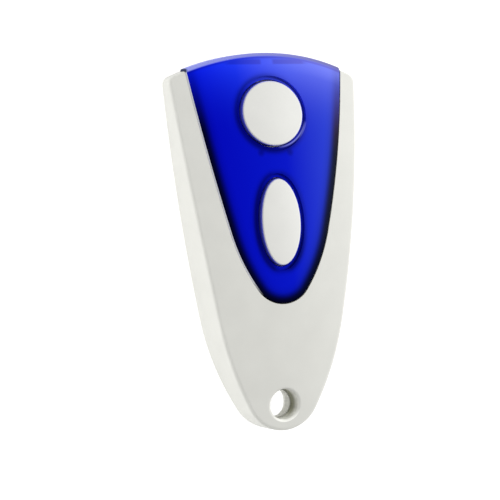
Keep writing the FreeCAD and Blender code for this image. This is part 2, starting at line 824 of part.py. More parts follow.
write("front_shell", make_front_shell())
write("rear_cover", make_rear_cover())
write("lens_cover", make_lens_cover())
write("round_button", make_button(round_prism, round_y, round_crown_radius, round_crown_radius))
write("oval_button", make_button(oval_prism, oval_y, oval_crown_across, oval_crown_along))
write("circuit_board", make_circuit_board())
write("loop_antenna", make_loop_antenna())
for name, y in (("round", round_y), ("oval", oval_y)):
    write(name + "_switch_base", make_switch_base(y))
    write(name + "_switch_cover", make_switch_cover(y))
    write(name + "_switch_stem", make_switch_stem(y))
    write(name + "_switch_dome", make_switch_dome(y))
write("switch_terminals", make_switch_terminals())
write("status_led", box(0, led_y(), board_top_z, led_size))
write("encoder_chip", on_board(encoder_at, encoder_size, pin_sheet))
write("encoder_chip_pins", make_encoder_pins())
write("saw_resonator_base", on_board(saw_at, saw_size))
write("saw_resonator_lid", make_saw_lid())
write("rf_transistor", on_board(transistor_at, transistor_size, pin_sheet))
write("rf_transistor_pins", make_transistor_pins())
write("chip_capacitors", chip_bodies(capacitors_at))
write("chip_resistors", chip_bodies(resistors_at))
write("chip_inductors", chip_bodies(inductors_at))
write("chip_ends", make_chip_ends())
write("coin_cell_can", make_cell_can())
write("coin_cell_cap", make_cell_cap())
write("coin_cell_gasket", make_cell_gasket())
write("cell_anode", make_cell_anode())
write("cell_separator", make_cell_separator())
write("cell_cathode", make_cell_cathode())
write("battery_contact", make_battery_contact())
write("battery_clip", make_battery_clip())
write("housing_screw", make_housing_screw())
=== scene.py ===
import math

import bpy
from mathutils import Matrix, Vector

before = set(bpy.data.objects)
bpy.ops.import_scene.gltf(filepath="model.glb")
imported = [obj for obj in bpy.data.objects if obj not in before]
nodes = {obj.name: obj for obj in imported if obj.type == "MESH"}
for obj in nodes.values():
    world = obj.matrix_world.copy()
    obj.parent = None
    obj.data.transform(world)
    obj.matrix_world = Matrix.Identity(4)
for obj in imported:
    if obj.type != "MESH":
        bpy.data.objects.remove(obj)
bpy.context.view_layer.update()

# Front shell
# The white moulding with the face, the side walls, the keyring tube and the floor under the blue cover.
# ABS, moulded in one shot. The mould's cavity is finely blasted, so the skin is matt with a soft grain.
white = (0.71, 0.71, 0.665)
shell_roughness = 0.60
skin_grain = 0.00016
skin_depth = 0.0000045
patch_in_grains = 30
gloss_change = 0.12
noise_low = 0.3
noise_high = 0.7


def feed(tree, node, inputs):
    """Feeds a node's inputs with plain values or other nodes' outputs."""
    for place, value in dict(inputs).items():
        if isinstance(value, bpy.types.NodeSocket):
            tree.links.new(value, node.inputs[place])
        else:
            node.inputs[place].default_value = value


def add_node(tree, kind, inputs=(), **settings):
    """Adds a shader node, sets it up and feeds it."""
    made = tree.nodes.new("ShaderNode" + kind)
    for name, value in settings.items():
        setattr(made, name, value)
    feed(tree, made, inputs)
    return made


def new_material(name):
    """A new material with its node tree and its shader."""
    material = bpy.data.materials.new(name)
    material.use_nodes = True
    return material, material.node_tree, material.node_tree.nodes["Principled BSDF"]


def object_spot(tree):
    """A spot's place on the remote, in metres."""
    return add_node(tree, "TexCoord").outputs["Object"]


def spread(tree, value, low, high, start=0.0, end=1.0):
    """Stretches a value that runs from start to end so that it runs from low to high, and holds it there."""
    limits = {"Value": value, "From Min": start, "From Max": end, "To Min": low, "To Max": high}
    return add_node(tree, "MapRange", limits).outputs[0]


def scaled(tree, colour, factor):
    """A colour made lighter or darker by a factor."""
    return add_node(tree, "VectorMath", {0: colour, "Scale": factor}, operation="SCALE").outputs[0]


def mottled(tree, spot, colour, strength, patch):
    """A colour that grows a little lighter and darker in patches of one size."""
    clouds = add_node(tree, "TexNoise", {"Vector": spot, "Scale": 1.0 / patch, "Detail": 3.0}).outputs[0]
    return scaled(tree, colour, spread(tree, clouds, 1.0 - strength, 1.0 + strength, noise_low, noise_high))


def raised(tree, height, depth):
    """The way a surface faces once it is raised by a height that runs from 0 to 1 over a depth."""
    return add_node(tree, "Bump", {"Strength": 1.0, "Distance": depth, "Height": height}).outputs[0]


def moulded(name, colour, roughness, grain, depth, strength=0.02, patch=None):
    """A moulded plastic: patches of slightly uneven colour and gloss under a fine grain."""
    material, tree, shader = new_material(name)
    spot = object_spot(tree)
    grains = add_node(tree, "TexNoise", {"Vector": spot, "Scale": 1.0 / grain, "Detail": 2.0}).outputs[0]
    smoother = (1.0 - gloss_change) * roughness
    rougher = (1.0 + gloss_change) * roughness
    feed(tree, shader, {"Base Color": mottled(tree, spot, colour, strength, patch or patch_in_grains * grain),
                        "Roughness": spread(tree, grains, smoother, rougher, noise_low, noise_high),
                        "Normal": raised(tree, grains, depth)})
    return material


def dress(material, *names):
    """Gives a material to whole CAD nodes."""
    for name in names:
        for slot in nodes[name].material_slots:
            slot.material = material


shell_white = moulded("shell_white", white, shell_roughness, skin_grain, skin_depth)
dress(shell_white, "front_shell")

# Keyring hole
# A bore through the housing's narrow end, with a rounded rim at the face. Its far side has painted olive
# shade where the soft box's light doesn't reach. Its side by the tip has painted light from the floor.
hole_middle = (0.0, -0.0299, 0.0)
hole_reach = 0.0033
bore_shade = (0.36, 0.36, 0.27)
bore_shade_heights = (0.0075, 0.0088)
shaded_side = (0.87, 0.5, 0.0)
shaded_turn = (-0.35, 0.45)
bore_light = 1.35
lit_side = (0.2, -0.98, 0.0)
lit_turn = (0.5, 0.9)


def rise(tree, value, start, end):
    """0 up to start, 1 from end on."""
    return spread(tree, value, 0.0, 1.0, start, end)


def fall(tree, value, start, end):
    """1 up to start, 0 from end on."""
    return spread(tree, value, 1.0, 0.0, start, end)


def reckon(tree, operation, *values):
    """One step of arithmetic."""
    return add_node(tree, "Math", enumerate(values), operation=operation).outputs[0]


def product(tree, first, *others):
    """Values multiplied together."""
    for value in others:
        first = reckon(tree, "MULTIPLY", first, value)
    return first


def split(tree, spot):
    """A spot's three measures: how far east, north and up it lies."""
    return tuple(add_node(tree, "SeparateXYZ", {0: spot}).outputs)


def flattened(tree, spot):
    """A spot's place in the plan, without its height."""
    return add_node(tree, "CombineXYZ", enumerate(split(tree, spot)[:2])).outputs[0]


def towards(tree, spot, middle):
    """The way from a middle to a spot, one unit long."""
    apart = add_node(tree, "VectorMath", {0: spot, 1: middle}, operation="SUBTRACT").outputs[0]
    return add_node(tree, "VectorMath", {0: apart}, operation="NORMALIZE").outputs[0]


def along(tree, way, direction):
    """How much of a way points in a direction, from -1 to 1."""
    return add_node(tree, "VectorMath", {0: way, 1: direction}, operation="DOT_PRODUCT").outputs["Value"]


def depth_in_circle(tree, spot, middle, radius):
    """How deep a spot lies inside a circle."""
    apart = add_node(tree, "VectorMath", {0: spot, 1: middle}, operation="DISTANCE").outputs["Value"]
    return reckon(tree, "SUBTRACT", radius, apart)


def choose(tree, share, low, high):
    """low where share is 0, high where it is 1."""
    return add_node(tree, "Mix", {0: share, 2: low, 3: high}, data_type="FLOAT").outputs[0]


def tinted(tree, share, low, high):
    """One colour where share is 0, another where it is 1."""
    ends = [side if isinstance(side, bpy.types.NodeSocket) else (*side, 1.0) for side in (low, high)]
    return add_node(tree, "Mix", {0: share, 6: ends[0], 7: ends[1]}, data_type="RGBA").outputs[2]


def filtered(tree, colour, tint):
    """A colour seen through a tint."""
    return add_node(tree, "VectorMath", {0: colour, 1: tint}, operation="MULTIPLY").outputs[0]


def colour_so_far(tree):
    """What feeds a material's colour up to now."""
    return tree.nodes["Principled BSDF"].inputs["Base Color"].links[0].from_socket


def recolour(tree, colour):
    """Feeds a material's colour anew."""
    feed(tree, tree.nodes["Principled BSDF"], {"Base Color": colour})


tree = shell_white.node_tree
spot = object_spot(tree)
flat = flattened(tree, spot)
height = split(tree, spot)[2]
in_hole = reckon(tree, "GREATER_THAN", depth_in_circle(tree, flat, hole_middle, hole_reach), 0.0)
hole_way = towards(tree, flat, hole_middle)
# Painted olive shade on the bore's far side, and painted light from the floor on its side by the tip.
shaded = product(tree, fall(tree, height, *bore_shade_heights),
                 rise(tree, along(tree, hole_way, shaded_side), *shaded_turn), in_hole)
skin = filtered(tree, colour_so_far(tree), tinted(tree, shaded, (1.0, 1.0, 1.0), bore_shade))
painted_floor_light = spread(tree, along(tree, hole_way, lit_side), 1.0, bore_light, *lit_turn)
recolour(tree, scaled(tree, skin, choose(tree, in_hole, 1.0, painted_floor_light)))

# Blue cover
# One clear blue polycarbonate moulding with a deep rim, a collar round each button and a lip over the end.
# Painted light from the white floor under its plate and in at its end, and painted shade in rim and collars.
cover_tip = -0.011335
cover_apex = 0.034825
cover_half_width = 0.0157
end_radius = 0.04475
corner_east = 0.01565
nose_radius = 0.0059
nose_turn = math.radians(54.7)
flank_radius = 0.0322
side_radius = 0.236

# Painted light on the plate from left to right, dim and bright, with a painted reflection's haze on the right
painted_dim_blues = ((0.0, (0.0005, 0.0012, 0.55)), (0.57, (0.0022, 0.0085, 0.60)), (1.0, (0.028, 0.064, 0.63)))
painted_lit_blues = ((0.0, (0.0008, 0.010, 1.0)), (0.3, (0.0136, 0.044, 1.0)), (0.63, (0.108, 0.155, 0.96)),
              (1.0, (0.19, 0.225, 0.91)))
plate_glow_reach = (0.018, 0.0328)
plate_glow_curve = 2.6
lip_glow_blue = (0.25, 0.30, 1.0)
lip_glow_reach = (0.0016, 0.0036)
lip_glow_curve = 3.0
lip_glow_share = 0.45

# The two ribs in line and the lip's lower edge, seen through the plate
rib_tint = (0.85, 0.70, 0.73)
rib_middle = 0.033125
rib_side = (0.000315, 0.000585)
rib_inner_end = (0.00096, 0.00144)
rib_outer_end = (0.00714, 0.00882)
lip_line = 0.00086
lip_line_side = (0.00009, 0.0003)
lip_line_share = 0.9

# The buttons' painted shadows on the collars round them, with painted light close in and on the far ledge,
# and the two posts
round_middle = (0.0, 0.023575, 0.0)
round_radius = 0.006
oval_middle = (0.0, 0.003615, 0.0)
oval_width = 0.0039
oval_length = 0.00795
far_side = (0.87, 0.5, 0.0)
collar_shadow_fade = ((0.0, 0.0), (0.0009, 0.0), (0.0011, 0.12), (0.0013, 0.35), (0.0015, 0.65), (0.0018, 0.90),
               (0.0022, 1.0))
collar_glow = ((0.0, 0.95), (0.0005, 0.9), (0.0007, 0.6), (0.0009, 0.3), (0.0011, 0.0))
round_collar_light = (0.36, 0.94)
round_collar_curve = 2.5
round_near_side = (-0.97, 0.26, 0.0)
round_near_turn = (0.0, 0.8)
round_near_glow = 0.85
round_far_turn = (0.35, 0.85)
ledge_light = ((0.0, 0.58), (0.0004, 0.50), (0.0006, 0.05), (0.00078, 0.0), (0.00088, 0.8), (0.00094, 0.9),
               (0.00095, 0.8), (0.00099, 0.58))
ledge_light_range = (0.45, 1.40)
oval_collar_light = (0.22, 0.60)
oval_far_turn = (0.0, 0.8)
oval_near_glow = 0.55
oval_end_light = 0.6
oval_end_turn = (0.97, 1.0)
post_place = (0.0029, 0.016325, 0.0)
post_size = 0.00055
post_side = (-0.00033, 0.00033)
post_light = 0.6

# The deep rim's painted shade, with a painted glow that comes in from the wide end
rim_light = ((0.0, 0.0), (0.0006, 0.03), (0.0008, 0.06), (0.0010, 0.12), (0.0013, 0.29), (0.0016, 0.51),
             (0.0020, 0.80), (0.0025, 0.93), (0.0032, 1.0))
rim_glow = 0.78
rim_glow_reach = (0.0197, 0.031)
rim_glow_curve = 1.4
rim_glow_lead = (-0.0007, 0.0004)
rim_glow_lead_reach = 0.0084
# The rim's darks, left to right and from the tip to the wide end, greyer on the right with a painted
# reflection
left_dark = (0.0003, 0.0006, 0.006)
right_dark = (0.005, 0.007, 0.014)
low_dark = (0.0006, 0.0018, 0.008)
end_dark = (0.042, 0.022, 0.042)
left_to_right = (0.0, 0.008)
low_to_right = (-0.002, 0.012)
right_to_end = (0.016, 0.026)

# A glowing painted glint round the round collar, painted highlights on the wide end and the left edge
glint = (0.20, 0.22, 0.52)
glint_side = (0.67, -0.74, 0.0)
glint_turn = (0.81, 0.99)
glint_circle = (0.000545, 0.023773, 0.0)
glint_radius = 0.00649
glint_width = 0.00022
end_highlight_blues = ((0.0, (0.36, 0.40, 1.0)), (0.5, (0.255, 0.265, 0.68)), (1.0, (0.17, 0.165, 0.40)))
end_highlight_side = (0.00050, 0.00076)
# Painted shade at the wide end's left tip
tip_shade = (0.03, 0.04, 0.12)
tip_side = (-0.0155, -0.0151)
edge_light = (0.88, 0.89, 1.0)
edge_light_width = 0.00018
edge_light_end = (-0.006, -0.004)
cover_roughness = 0.25
cover_shine = 0.012


def beyond(tree, spot, middle, turn):
    """1 past the spoke that leaves middle at an angle from straight down, and 0 before it."""
    lead = along(tree, towards(tree, spot, middle), (math.cos(turn), math.sin(turn), 0.0))
    return reckon(tree, "GREATER_THAN", lead, 0.0)


def power(tree, value, curve):
    """A share bent so that it grows late."""
    return reckon(tree, "POWER", value, curve)


def ramp(tree, share, stops):
    """A colour read off a line through stops, each a place from 0 to 1 and its colour."""
    band = add_node(tree, "ValToRGB", {0: share})
    elements = band.color_ramp.elements
    while len(elements) < len(stops):
        elements.new(1.0)
    for element, (place, _) in zip(elements, stops):
        element.position = place
    for element, (_, colour) in zip(elements, stops):
        element.color = (*colour, 1.0)
    return band.outputs[0]


def stepped(tree, value, stops):
    """A level read off a line through stops, each a distance and its level."""
    reach = stops[-1][0]
    greys = [(distance / reach, (level, level, level)) for distance, level in stops]
    return ramp(tree, rise(tree, value, 0.0, reach), greys)


def outside_oval(tree, spot, middle, width, length):
    """How far a spot lies outside an oval."""
    shrink = (1 / width, 1 / length, 0)
    apart = add_node(tree, "VectorMath", {0: spot, 1: middle}, operation="SUBTRACT").outputs[0]
    once = filtered(tree, apart, shrink)
    twice = filtered(tree, once, shrink)
    reach = add_node(tree, "VectorMath", {0: once}, operation="LENGTH").outputs["Value"]
    slope = add_node(tree, "VectorMath", {0: twice}, operation="LENGTH").outputs["Value"]
    return reckon(tree, "DIVIDE", product(tree, reckon(tree, "SUBTRACT", reach, 1.0), reach), slope)


def side_circle(flank_middle):
    """The middle of the long side arc, which runs on from the flank arc and ends at the wide end's corner."""
    end_middle_north = cover_apex - end_radius
    corner_north = end_middle_north + math.sqrt(end_radius ** 2 - corner_east ** 2)
    apart = Vector((corner_east, corner_north, 0.0)) - flank_middle
    reach = side_radius - flank_radius
    lead = (apart.length ** 2 + reach ** 2 - side_radius ** 2) / (2 * apart.length)
    aside = math.sqrt(reach ** 2 - lead ** 2)
    way = apart.normalized()
    return flank_middle + way * lead + Vector((-way.y, way.x, 0.0)) * aside


def depth_in_cover(tree, folded):
    """How deep a spot of the right half lies inside the cover's nose, flank and side arcs."""
    nose_middle = Vector((0.0, cover_tip + nose_radius, 0.0))
    nose_end = Vector((math.sin(nose_turn), -math.cos(nose_turn), 0.0))
    flank_middle = nose_middle - nose_end * (flank_radius - nose_radius)
    side_middle = side_circle(flank_middle)
    flank_end = flank_middle - side_middle
    flank_turn = math.atan2(flank_end.x, -flank_end.y)
    in_nose = depth_in_circle(tree, folded, nose_middle, nose_radius)
    in_flank = depth_in_circle(tree, folded, flank_middle, flank_radius)
    in_side = depth_in_circle(tree, folded, side_middle, side_radius)
    past_flank = choose(tree, beyond(tree, folded, flank_middle, flank_turn), in_flank, in_side)
    return choose(tree, beyond(tree, folded, nose_middle, nose_turn), in_nose, past_flank)


def lit_blue(tree, east, north, rightness, from_end):
    """The plate's blue, painted lighter over the white floor and towards the wide end, with the lip's painted
    glow and darker ribs.
    """
    glow = power(tree, rise(tree, north, *plate_glow_reach), plate_glow_curve)
    lit = tinted(tree, glow, ramp(tree, rightness, painted_dim_blues), ramp(tree, rightness, painted_lit_blues))
    lip_share = spread(tree, power(tree, rightness, lip_glow_curve), 0.0, lip_glow_share)
    lit = tinted(tree, product(tree, fall(tree, from_end, *lip_glow_reach), lip_share), lit, lip_glow_blue)
    aside = reckon(tree, "ABSOLUTE", east)
    off_rib = reckon(tree, "ABSOLUTE", reckon(tree, "SUBTRACT", north, rib_middle))
    in_rib = product(tree, fall(tree, off_rib, *rib_side), rise(tree, aside, *rib_inner_end),
                     fall(tree, aside, *rib_outer_end))
    off_lip = reckon(tree, "ABSOLUTE", reckon(tree, "SUBTRACT", from_end, lip_line))
    under_lip = spread(tree, off_lip, lip_line_share, 0.0, *lip_line_side)
    return tinted(tree, reckon(tree, "MAXIMUM", in_rib, under_lip), lit, filtered(tree, lit, rib_tint))


def shaded_blue(tree, east, north):
    """The rim's and collars' painted shade of the blue, greyer on the right and near the wide end with a
    painted reflection.
    """
    dark = tinted(tree, rise(tree, north, *low_to_right), low_dark, right_dark)
    dark = tinted(tree, rise(tree, north, *right_to_end), dark, end_dark)
    return tinted(tree, rise(tree, east, *left_to_right), left_dark, dark)


def round_collar(tree, from_round, round_way):
    """The button's painted shadow on the round collar, darkest on its near side, with painted light close in
    on that side.
    """
    turned = power(tree, rise(tree, along(tree, round_way, far_side), -1.0, 1.0), round_collar_curve)
    near = spread(tree, along(tree, round_way, round_near_side), 0.0, round_near_glow, *round_near_turn)
    near = product(tree, near, stepped(tree, from_round, collar_glow))
    share = reckon(tree, "MAXIMUM", near, stepped(tree, from_round, collar_shadow_fade))
    return choose(tree, share, choose(tree, turned, *round_collar_light), 1.0)


def oval_collar(tree, flat):
    """The button's painted shadow on the oval collar, darker on its near side, with painted light close in
    and at its two ends.
    """
    from_oval = outside_oval(tree, flat, oval_middle, oval_width, oval_length)
    oval_way = towards(tree, flat, oval_middle)
    turned = spread(tree, along(tree, oval_way, far_side), *oval_collar_light, *oval_far_turn)
    endwise = reckon(tree, "ABSOLUTE", along(tree, oval_way, (0.0, 1.0, 0.0)))
    level = reckon(tree, "MAXIMUM", turned, spread(tree, endwise, 0.0, oval_end_light, *oval_end_turn))
    near = product(tree, stepped(tree, from_oval, collar_glow), oval_near_glow)
    share = reckon(tree, "MAXIMUM", near, stepped(tree, from_oval, collar_shadow_fade))
    return choose(tree, share, level, 1.0)


def rim_share(tree, east, north, from_edge):
    """The painted shade in the deep rim: full at its edge, but for a painted glow from the wide end."""
    lead = spread(tree, east, *rim_glow_lead, -rim_glow_lead_reach, rim_glow_lead_reach)
    reached = rise(tree, reckon(tree, "ADD", north, lead), *rim_glow_reach)
    least = product(tree, power(tree, reached, rim_glow_curve), rim_glow)
    return choose(tree, stepped(tree, from_edge, rim_light), least, 1.0)


def glint_share(tree, flat, round_way):
    """How strongly the painted glint round the round collar glows."""
    off_glint = reckon(tree, "ABSOLUTE", depth_in_circle(tree, flat, glint_circle, glint_radius))
    on_side = rise(tree, along(tree, round_way, glint_side), *glint_turn)
    return product(tree, fall(tree, off_glint, 0.0, glint_width), on_side)


clear_blue, tree, shader = new_material("clear_blue")
spot = object_spot(tree)
flat = flattened(tree, spot)
east, north = split(tree, spot)[:2]
folded = add_node(tree, "CombineXYZ", {0: reckon(tree, "ABSOLUTE", east), 1: north}).outputs[0]
from_edge = depth_in_cover(tree, folded)
from_end = depth_in_circle(tree, flat, (0.0, cover_apex - end_radius, 0.0), end_radius)
from_round = product(tree, depth_in_circle(tree, flat, round_middle, round_radius), -1.0)
round_way = towards(tree, flat, round_middle)
rightness = rise(tree, east, -cover_half_width, cover_half_width)

from_post = depth_in_circle(tree, folded, post_place, post_size)
# Painted light and shade: the buttons' painted shadows on the collars, darker where the posts show through,
# the rim's painted shade.
light = product(tree, round_collar(tree, from_round, round_way), oval_collar(tree, flat),
                spread(tree, from_post, 1.0, post_light, *post_side), rim_share(tree, east, north, from_edge))
lit = lit_blue(tree, east, north, rightness, from_end)
surface = tinted(tree, light, shaded_blue(tree, east, north), lit)
# Painted light on the round collar's ledge on its far side.
on_far_side = rise(tree, along(tree, round_way, far_side), *round_far_turn)
painted_ledge_light = choose(tree, stepped(tree, from_round, ledge_light), *ledge_light_range)
surface = scaled(tree, surface, choose(tree, on_far_side, 1.0, painted_ledge_light))

# Painted highlights along the wide end and the left edge, and painted shade at the end's left tip.
on_end_highlight = fall(tree, from_end, *end_highlight_side)
surface = tinted(tree, on_end_highlight, surface, ramp(tree, rightness, end_highlight_blues))
on_left_highlight = product(tree, reckon(tree, "LESS_THAN", from_edge, edge_light_width),
                       fall(tree, east, *edge_light_end))
surface = tinted(tree, on_left_highlight, surface, edge_light)
surface = tinted(tree, product(tree, fall(tree, east, *tip_side), on_end_highlight), surface, tip_shade)
# The painted glint is made to glow through the emission.
feed(tree, shader, {"Base Color": surface, "Roughness": cover_roughness, "Specular IOR Level": cover_shine,
                    "Emission Color": (*glint, 1.0), "Emission Strength": glint_share(tree, flat, round_way)})
dress(clear_blue, "lens_cover")

# Buttons
# Two hollow caps that sit proud of the blue cover, one round and one oval: a slightly glossier white than the
# shell, moulded with a crowned top and a soft edge. Their outer walls carry a painted reflection of the
# cover's blue.
cap_white = (0.79, 0.79, 0.755)
cap_roughness = 0.50
cap_depth = 0.7 * skin_depth
cap_patch = 0.005
reflected_blue = (0.09, 0.11, 0.80)
wall_reach = 0.0004
wall_facing = (0.35, 0.93)


def levelness(tree):
    """1 on faces that look up or down, 0 on upright ones."""
    facing = add_node(tree, "NewGeometry").outputs["Normal"]
    return reckon(tree, "ABSOLUTE", split(tree, facing)[2])


button_white = moulded("button_white", cap_white, cap_roughness, skin_grain, cap_depth, patch=cap_patch)
tree = button_white.node_tree
flat = flattened(tree, object_spot(tree))
in_round = depth_in_circle(tree, flat, round_middle, round_radius)
in_oval = product(tree, outside_oval(tree, flat, oval_middle, oval_width, oval_length), -1.0)
from_wall = reckon(tree, "ABSOLUTE", reckon(tree, "MAXIMUM", in_round, in_oval))
# A painted reflection of the cover's blue on the caps' outer walls.
reflection_share = product(tree, fall(tree, levelness(tree), *wall_facing),
                     reckon(tree, "LESS_THAN", from_wall, wall_reach))
recolour(tree, tinted(tree, reflection_share, colour_so_far(tree), reflected_blue))
dress(button_white, "round_button", "oval_button")

# Circuit board
# Glass-fibre laminate, cut to the housing's inside. A green solder mask covers its faces and copper tracks.
# The cut edges show the bare yellowish laminate. Pegs on the rear cover locate it.
mask_green = (0.010, 0.085, 0.032)
track_green = (0.026, 0.175, 0.062)
mask_roughness = 0.28
mask_depth = 0.00002
laminate = (0.56, 0.50, 0.27)
laminate_unevenness = 0.12
laminate_patch = 0.0004
laminate_roughness = 0.75
weave_pitch = 0.0006
weave_shade = (0.86, 1.08)
weave_height = 0.2
track_pitch = 0.0011
track_run = 0.011
track_width = 0.00017
track_stagger = 0.37
long_run = 1.6
long_run_every = 3
track_patch = 0.0075
northward_share = 0.5
via_field = 0.0031
via_size = 0.00028
via_core = 0.8
upright_limit = 0.5
# The wave texture's scale for bands one metre apart
metre_bands = math.pi / 10


def woven(tree, spot, pitch):
    """The crossing bulges of a plain weave."""
    bulges = []
    for way in ("X", "Y"):
        bands = {"Vector": spot, "Scale": metre_bands / pitch}
        bulges.append(add_node(tree, "TexWave", bands, bands_direction=way).outputs["Fac"])
    return product(tree, *bulges)


def lanes(tree, across, upwards):
    """Thin copper tracks side by side, each joined to the next here and there."""
    place = add_node(tree, "CombineXYZ", {0: across, 1: upwards}).outputs[0]
    sizes = {"Vector": place, "Scale": 1.0 / track_pitch, "Mortar Size": track_width / 2 / track_pitch,
             "Brick Width": track_run / track_pitch, "Row Height": 1.0}
    return add_node(tree, "TexBrick", sizes, offset=track_stagger, squash=long_run,
                    squash_frequency=long_run_every).outputs["Fac"]


def on_edge(tree):
    """1 on upright faces, 0 on level ones."""
    return reckon(tree, "LESS_THAN", levelness(tree), upright_limit)


solder_mask, tree, shader = new_material("solder_mask")
spot = object_spot(tree)
flat = flattened(tree, spot)
east, north = split(tree, spot)[:2]
patches = add_node(tree, "TexVoronoi", {"Vector": flat, "Scale": 1.0 / track_patch}, voronoi_dimensions="2D",
                   distance="CHEBYCHEV").outputs["Color"]
runs_north = reckon(tree, "GREATER_THAN", patches, northward_share)
tracks = choose(tree, runs_north, lanes(tree, east, north), lanes(tree, north, east))
from_via = add_node(tree, "TexVoronoi", {"Vector": flat, "Scale": 1.0 / via_field}, voronoi_dimensions="2D")
in_via = fall(tree, from_via.outputs["Distance"], via_core * via_size / via_field, via_size / via_field)
copper_under = reckon(tree, "MAXIMUM", tracks, in_via)
fibres = woven(tree, spot, weave_pitch)
mask = scaled(tree, tinted(tree, copper_under, mask_green, track_green), spread(tree, fibres, *weave_shade))
cut_edge = mottled(tree, spot, laminate, laminate_unevenness, laminate_patch)
relief = reckon(tree, "ADD", copper_under, product(tree, fibres, weave_height))
feed(tree, shader, {"Base Color": tinted(tree, on_edge(tree), mask, cut_edge),
                    "Roughness": spread(tree, on_edge(tree), mask_roughness, laminate_roughness),
                    "Normal": raised(tree, relief, mask_depth)})
dress(solder_mask, "circuit_board")

# Loop antenna
# A printed copper track under the board, a loop open towards the cell.
# Bare copper under a thin lacquer, a little tarnished.
copper = (0.74, 0.36, 0.20)
patch_in_pitches = 20
line_gloss_change = 0.3
long_line = 0.004


def metal(name, colour, roughness, pitch, depth, line=long_line, middle=None, strength=0.05):
    """A bare metal with fine lines in it: straight ones of one length along X, or rings round a middle."""
    material, tree, shader = new_material(name)
    spot = object_spot(tree)
    if middle:
        across = product(tree, depth_in_circle(tree, flattened(tree, spot), middle, 0.0), 1 / pitch)
        lined = add_node(tree, "CombineXYZ", {0: across}).outputs[0]
    else:
        lined = filtered(tree, spot, (1 / line, 1 / pitch, 1 / pitch))
    lines = add_node(tree, "TexNoise", {"Vector": lined, "Scale": 1.0, "Detail": 3.0}).outputs[0]
    smoother = (1.0 - line_gloss_change) * roughness
    rougher = (1.0 + line_gloss_change) * roughness
    feed(tree, shader, {"Metallic": 1.0,
                        "Base Color": mottled(tree, spot, colour, strength, patch_in_pitches * pitch),
                        "Roughness": spread(tree, lines, smoother, rougher, noise_low, noise_high),
                        "Normal": raised(tree, lines, depth)})
    return material


loop_copper = metal("loop_copper", copper, roughness=0.38, pitch=0.00006, depth=0.000001, strength=0.18)
dress(loop_copper, "loop_antenna")

# Press switches
# Each has a black nylon base soldered by four legs, a stamped tin cover, a nylon stem and a steel snap dome.
# The dome is pressed from hard spring strip, so it has fine rings from the tool. It gives under the stem.
nylon_black = (0.028, 0.028, 0.030)
tin_grey = (0.62, 0.61, 0.59)
spring_grey = (0.66, 0.65, 0.63)
solder_grey = (0.70, 0.70, 0.69)

nylon = moulded("switch_nylon", nylon_black, roughness=0.45, grain=0.00008, depth=0.000004, strength=0.10)
dress(nylon, "round_switch_base", "oval_switch_base", "round_switch_stem", "oval_switch_stem")
stamped_tin = metal("stamped_tin", tin_grey, roughness=0.30, pitch=0.00005, depth=0.0000008)
dress(stamped_tin, "round_switch_cover", "oval_switch_cover")
for name, middle in (("round", round_middle), ("oval", oval_middle)):
    spring = metal(name + "_dome_steel", spring_grey, roughness=0.20, pitch=0.00005, depth=0.0000008,
                   middle=middle)
    dress(spring, name + "_switch_dome")
soldered = metal("soldered_legs", solder_grey, roughness=0.34, pitch=0.00030, depth=0.00001, line=0.0003,
                 strength=0.10)
dress(soldered, "switch_terminals")

# Status lamp
# A lamp soldered flat on the board, that shines up between the cover's two ribs: a white moulded base under
# clear resin. A round patch of yellow phosphor shows through the resin.
lamp_middle = (0.0, 0.03155, 0.0)
lamp_white = (0.80, 0.80, 0.74)
phosphor = (0.78, 0.66, 0.16)
phosphor_radius = 0.00028
phosphor_edge = (-0.00004, 0.00004)
resin_coat = 0.6

lamp_resin = moulded("lamp_resin", lamp_white, roughness=0.22, grain=0.00005, depth=0.000001, strength=0.05,
                     patch=0.0002)
tree = lamp_resin.node_tree
in_patch = depth_in_circle(tree, flattened(tree, object_spot(tree)), lamp_middle, phosphor_radius)
recolour(tree, tinted(tree, rise(tree, in_patch, *phosphor_edge), colour_so_far(tree), phosphor))
tree.nodes["Principled BSDF"].inputs["Coat Weight"].default_value = resin_coat
dress(lamp_resin, "status_led")

# Encoder chip
# Black epoxy moulded over the chip, matt from the mould, with a small round dimple at its first pin.
# Eight tinned legs hold it on the board. It carries no lettering. The transistor is made the same way.
epoxy_black = (0.022, 0.022, 0.024)
first_pin = (-0.00955, 0.01578, 0.0)
dimple_radius = 0.00032
dimple_depth = 0.00006
dimple_slope = 0.00008

epoxy = moulded("chip_epoxy", epoxy_black, roughness=0.52, grain=0.00007, depth=0.000006, strength=0.12)
tree = epoxy.node_tree
shader = tree.nodes["Principled BSDF"]
in_dimple = depth_in_circle(tree, flattened(tree, object_spot(tree)), first_pin, dimple_radius)
dimple = {"Distance": dimple_depth, "Height": fall(tree, in_dimple, 0.0, dimple_slope),
          "Normal": shader.inputs["Normal"].links[0].from_socket}
feed(tree, shader, {"Normal": add_node(tree, "Bump", dimple).outputs[0]})
dress(epoxy, "encoder_chip", "rf_transistor")
tinned_pins = metal("tinned_pins", tin_grey, roughness=0.30, pitch=0.00010, depth=0.000002, line=0.0002)
dress(tinned_pins, "encoder_chip_pins", "rf_transistor_pins")

# Resonator
# Sets the radio frequency. A fired ceramic tray, closed by a plated metal lid that is seam welded on.
# The lid's plating is pale and a little warm.
fired_ceramic = (0.50, 0.44, 0.36)
lid_plate = (0.72, 0.68, 0.58)

tray = moulded("resonator_tray", fired_ceramic, roughness=0.60, grain=0.00009, depth=0.000006, strength=0.08)
dress(tray, "saw_resonator_base")
lid = metal("resonator_lid", lid_plate, roughness=0.24, pitch=0.00006, depth=0.000001)
dress(lid, "saw_resonator_lid")

